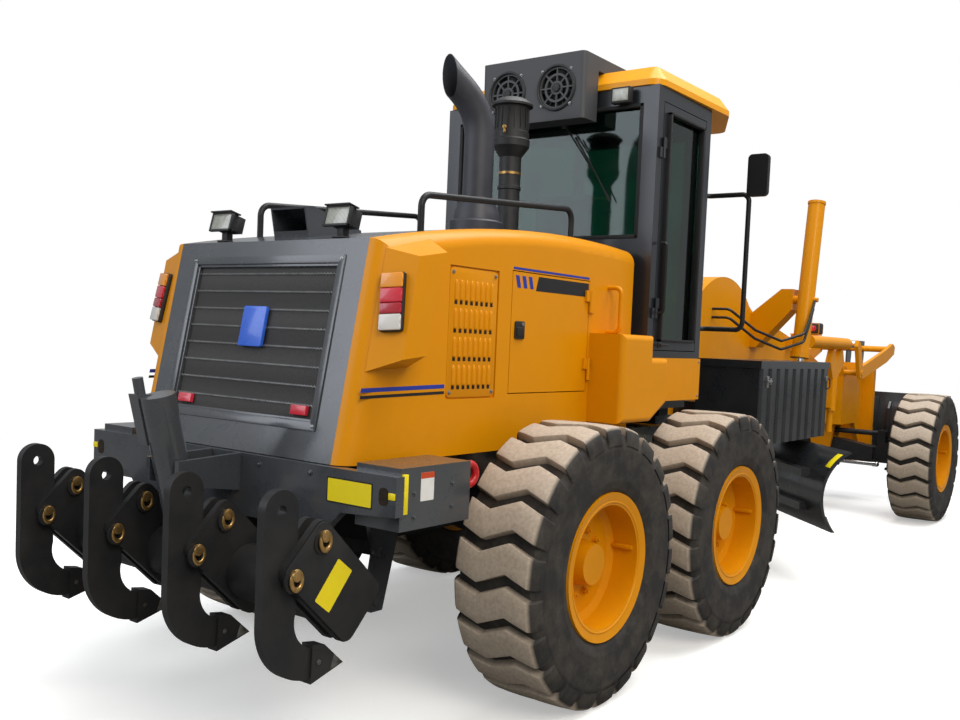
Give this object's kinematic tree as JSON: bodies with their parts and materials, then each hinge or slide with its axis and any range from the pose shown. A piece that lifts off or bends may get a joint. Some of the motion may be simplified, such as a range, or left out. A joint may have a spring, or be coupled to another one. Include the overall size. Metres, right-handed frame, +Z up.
{
  "type": "motor grader",
  "caption": "Articulated motor grader with a long angled blade under its arched frame, a glazed cab, tandem rear wheels, a rear ripper and a front blade.",
  "frame": {"origin": "on the ground under the middle of the machine's length, in its upright middle plane", "axes": "+X forwards, +Y to the machine's left, +Z up"},
  "size_m": [9.738, 2.8034, 3.475],
  "materials": {
    "yellow_paint": "semi-gloss orange-yellow enamel",
    "grey_paint": "satin dark grey enamel",
    "black_steel": "satin black enamel",
    "worn_steel": "bare steel, dull and rubbed",
    "chrome": "polished rods",
    "tyre_rubber": "dusty black rubber",
    "black_rubber": "black hose rubber",
    "tinted_glass": "tinted safety glass",
    "roof_paint": "semi-gloss orange-yellow enamel",
    "lamp_lens": "moulded lens",
    "seat_fabric": "woven seat cloth",
    "cast_iron": "painted casting"
  },
  "bodies": {
    "rear_body": {"rear_frame": "grey_paint", "tandem_drive": "yellow_paint", "engine": "cast_iron", "hood_shroud": "grey_paint", "side_panels": "yellow_paint", "grille": "black_steel", "stacks": "grey_paint", "lamps": "lamp_lens", "work_lamps": "black_steel", "rails_and_mirrors": "black_steel", "cab_frame": "grey_paint", "cab_glass": "tinted_glass", "cab_roof": "roof_paint", "ac_unit": "roof_paint", "seat": "seat_fabric"},
    "front_body": {"front_frame": "yellow_paint", "tool_boxes": "grey_paint", "front_axle": "yellow_paint", "hoses": "black_rubber"},
    "lean_bar": {"lean_bar": "black_steel"},
    "tie_rod": {"tie_rod": "chrome"},
    "drawbar": {"drawbar": "yellow_paint"},
    "circle": {"circle": "worn_steel"},
    "blade_carrier": {"blade_carrier": "yellow_paint"},
    "moldboard": {"moldboard": "grey_paint"},
    "lift_barrels": {"lift_barrels": "yellow_paint"},
    "lift_rods": {"lift_rods": "chrome"},
    "engine_door_right": {"engine_door_right": "yellow_paint"},
    "engine_door_left": {"engine_door_left": "yellow_paint"},
    "cab_door_right": {"door_right": "grey_paint", "door_glass_right": "tinted_glass"},
    "cab_door_left": {"door_left": "grey_paint", "door_glass_left": "tinted_glass"},
    "ripper_lower_links": {"ripper_lower_links": "black_steel"},
    "ripper_upper_links": {"ripper_upper_links": "black_steel"},
    "ripper": {"ripper": "black_steel"},
    "ripper_rod": {"ripper_rod": "chrome"},
    "front_blade": {"front_blade": "grey_paint"},
    "front_lift_arms": {"front_lift_arms": "yellow_paint"},
    "front_lift_rod": {"front_lift_rod": "chrome"},
    "lean_carrier_right": {"lean_carrier_right": "yellow_paint"},
    "knuckle_right": {"knuckle_right": "yellow_paint"},
    "articulation_barrel_right": {"articulation_barrel_right": "yellow_paint"},
    "articulation_rod_right": {"articulation_rod_right": "chrome"},
    "wheel_rear_right": {"tyre_rear_right": "tyre_rubber", "rim_rear_right": "yellow_paint"},
    "wheel_mid_right": {"tyre_mid_right": "tyre_rubber", "rim_mid_right": "yellow_paint"},
    "wheel_front_right": {"tyre_front_right": "tyre_rubber", "rim_front_right": "yellow_paint"},
    "lean_carrier_left": {"lean_carrier_left": "yellow_paint"},
    "knuckle_left": {"knuckle_left": "yellow_paint"},
    "articulation_barrel_left": {"articulation_barrel_left": "yellow_paint"},
    "articulation_rod_left": {"articulation_rod_left": "chrome"},
    "wheel_rear_left": {"tyre_rear_left": "tyre_rubber", "rim_rear_left": "yellow_paint"},
    "wheel_mid_left": {"tyre_mid_left": "tyre_rubber", "rim_mid_left": "yellow_paint"},
    "wheel_front_left": {"tyre_front_left": "tyre_rubber", "rim_front_left": "yellow_paint"}
  },
  "joints": [
    {"name": "articulation", "type": "hinge", "parent": "rear_body", "child": "front_body", "pos_m": [-0.631, 0, 1.06], "axis": [0, 0, -1], "range_deg": [-27, 27]},
    {"name": "wheel_rear_right_spin", "type": "hinge", "parent": "rear_body", "child": "wheel_rear_right", "pos_m": [-3.15, -1.078, 0.675], "axis": [0, 1, 0], "continuous": true},
    {"name": "wheel_mid_right_spin", "type": "hinge", "parent": "rear_body", "child": "wheel_mid_right", "pos_m": [-1.612, -1.078, 0.675], "axis": [0, 1, 0], "continuous": true},
    {"name": "wheel_rear_left_spin", "type": "hinge", "parent": "rear_body", "child": "wheel_rear_left", "pos_m": [-3.15, 1.078, 0.675], "axis": [0, 1, 0], "continuous": true},
    {"name": "wheel_mid_left_spin", "type": "hinge", "parent": "rear_body", "child": "wheel_mid_left", "pos_m": [-1.612, 1.078, 0.675], "axis": [0, 1, 0], "continuous": true},
    {"name": "lean_right", "type": "hinge", "parent": "front_body", "child": "lean_carrier_right", "pos_m": [3.838, -0.64, 0.66], "axis": [1, 0, 0], "range_deg": [-17, 17]},
    {"name": "lean_left", "type": "hinge", "parent": "front_body", "child": "lean_carrier_left", "pos_m": [3.838, 0.64, 0.66], "axis": [1, 0, 0], "range_deg": [-17, 17]},
    {"name": "lean_bar_slide", "type": "slide", "parent": "front_body", "child": "lean_bar", "axis": [0, 1, 0], "range_m": [-0.09, 0.09]},
    {"name": "steer_right", "type": "hinge", "parent": "lean_carrier_right", "child": "knuckle_right", "pos_m": [3.838, -0.77, 0.66], "axis": [0, 0, 1], "range_deg": [-50, 50]},
    {"name": "wheel_front_right_spin", "type": "hinge", "parent": "knuckle_right", "child": "wheel_front_right", "pos_m": [3.838, -1.078, 0.675], "axis": [0, 1, 0], "continuous": true},
    {"name": "steer_left", "type": "hinge", "parent": "lean_carrier_left", "child": "knuckle_left", "pos_m": [3.838, 0.77, 0.66], "axis": [0, 0, 1], "range_deg": [-50, 50]},
    {"name": "wheel_front_left_spin", "type": "hinge", "parent": "knuckle_left", "child": "wheel_front_left", "pos_m": [3.838, 1.078, 0.675], "axis": [0, 1, 0], "continuous": true},
    {"name": "tie_rod_slide", "type": "slide", "parent": "front_body", "child": "tie_rod", "axis": [0, 1, 0], "range_m": [-0.19, 0.19]},
    {"name": "drawbar_lift", "type": "hinge", "parent": "front_body", "child": "drawbar", "pos_m": [3.479, 0, 1.21], "axis": [0, -1, 0], "range_deg": [0, 24]},
    {"name": "lift_barrels_swing", "type": "hinge", "parent": "front_body", "child": "lift_barrels", "pos_m": [1.189, 0, 2.19], "axis": [0, -1, 0], "range_deg": [-2, 12]},
    {"name": "lift_rods_slide", "type": "slide", "parent": "lift_barrels", "child": "lift_rods", "axis": [-0.1495, 0, -0.9888], "range_m": [0, 1.02]},
    {"name": "circle_turn", "type": "hinge", "parent": "drawbar", "child": "circle", "pos_m": [1.369, 0, 1.142], "axis": [0, 0, 1], "range_deg": [-5, 95]},
    {"name": "blade_tip", "type": "hinge", "parent": "circle", "child": "blade_carrier", "pos_m": [1.19222, 0.17678, 0.57], "axis": [0.7071, 0.7071, 0], "range_deg": [-5, 30]},
    {"name": "blade_side_shift", "type": "slide", "parent": "blade_carrier", "child": "moldboard", "axis": [0.7071, 0.7071, 0], "range_m": [-0.6, 0.6]},
    {"name": "engine_door_right_hinge", "type": "hinge", "parent": "rear_body", "child": "engine_door_right", "pos_m": [-2.5535, -0.742, 1.77], "axis": [0, 0, 1], "range_deg": [0, 90]},
    {"name": "engine_door_left_hinge", "type": "hinge", "parent": "rear_body", "child": "engine_door_left", "pos_m": [-2.5535, 0.742, 1.77], "axis": [0, 0, -1], "range_deg": [0, 90]},
    {"name": "cab_door_right_hinge", "type": "hinge", "parent": "rear_body", "child": "cab_door_right", "pos_m": [-1.9235, -0.812, 2.44], "axis": [0, 0, -1], "range_deg": [0, 90]},
    {"name": "cab_door_left_hinge", "type": "hinge", "parent": "rear_body", "child": "cab_door_left", "pos_m": [-1.9235, 0.812, 2.44], "axis": [0, 0, 1], "range_deg": [0, 90]},
    {"name": "ripper_lift", "type": "hinge", "parent": "rear_body", "child": "ripper_lower_links", "pos_m": [-3.821, 0, 0.48], "axis": [0, -1, 0], "range_deg": [0, 67]},
    {"name": "ripper_upper_link_swing", "type": "hinge", "parent": "rear_body", "child": "ripper_upper_links", "pos_m": [-3.781, 0, 0.7], "axis": [0, -1, 0], "range_deg": [0, 67.5]},
    {"name": "ripper_level", "type": "hinge", "parent": "ripper_lower_links", "child": "ripper", "pos_m": [-4.341, 0, 0.64], "axis": [0, -1, 0], "range_deg": [-67.5, 0]},
    {"name": "ripper_rod_slide", "type": "slide", "parent": "rear_body", "child": "ripper_rod", "axis": [0.2425, 0, -0.9701], "range_m": [0, 0.62]},
    {"name": "front_blade_lift", "type": "slide", "parent": "front_body", "child": "front_blade", "axis": [0, 0, 1], "range_m": [-0.45, 0]},
    {"name": "front_arms_swing", "type": "hinge", "parent": "front_body", "child": "front_lift_arms", "pos_m": [3.569, 0, 1.535], "axis": [0, -1, 0], "range_deg": [-23, 0]},
    {"name": "front_lift_rod_slide", "type": "slide", "parent": "front_body", "child": "front_lift_rod", "axis": [1, 0, 0], "range_m": [0, 0.14]},
    {"name": "articulation_barrel_right_swing", "type": "hinge", "parent": "rear_body", "child": "articulation_barrel_right", "pos_m": [-1.301, -0.38, 0.8], "axis": [0, 0, -1], "range_deg": [-14, 14]},
    {"name": "articulation_rod_right_slide", "type": "slide", "parent": "articulation_barrel_right", "child": "articulation_rod_right", "axis": [0.999, 0.0446, 0], "range_m": [-0.2, 0.2]},
    {"name": "articulation_barrel_left_swing", "type": "hinge", "parent": "rear_body", "child": "articulation_barrel_left", "pos_m": [-1.301, 0.38, 0.8], "axis": [0, 0, -1], "range_deg": [-14, 14]},
    {"name": "articulation_rod_left_slide", "type": "slide", "parent": "articulation_barrel_left", "child": "articulation_rod_left", "axis": [0.999, -0.0446, 0], "range_m": [-0.2, 0.2]}
  ],
  "couplings": [
    {"joint": "lean_left", "follows": "lean_right", "ratio": 1},
    {"joint": "lean_bar_slide", "follows": "lean_right", "m_per_rad": -0.22},
    {"joint": "steer_left", "follows": "steer_right", "ratio": 1},
    {"joint": "tie_rod_slide", "follows": "steer_right", "m_per_rad": -0.18},
    {"joint": "lift_barrels_swing", "follows": "drawbar_lift", "ratio": 0.38073},
    {"joint": "lift_rods_slide", "follows": "drawbar_lift", "m_per_rad": 2.3685},
    {"joint": "ripper_upper_link_swing", "follows": "ripper_lift", "ratio": 1},
    {"joint": "ripper_level", "follows": "ripper_lift", "ratio": -1},
    {"joint": "ripper_rod_slide", "follows": "ripper_lift", "m_per_rad": 0.5192},
    {"joint": "front_arms_swing", "follows": "front_blade_lift", "rad_per_m": 0.81757},
    {"joint": "front_lift_rod_slide", "follows": "front_blade_lift", "ratio": -0.26608},
    {"joint": "articulation_barrel_right_swing", "follows": "articulation", "ratio": 0.38502},
    {"joint": "articulation_rod_right_slide", "follows": "articulation", "m_per_rad": -0.34742},
    {"joint": "articulation_barrel_left_swing", "follows": "articulation", "ratio": 0.38502},
    {"joint": "articulation_rod_left_slide", "follows": "articulation", "m_per_rad": 0.34742}
  ]
}
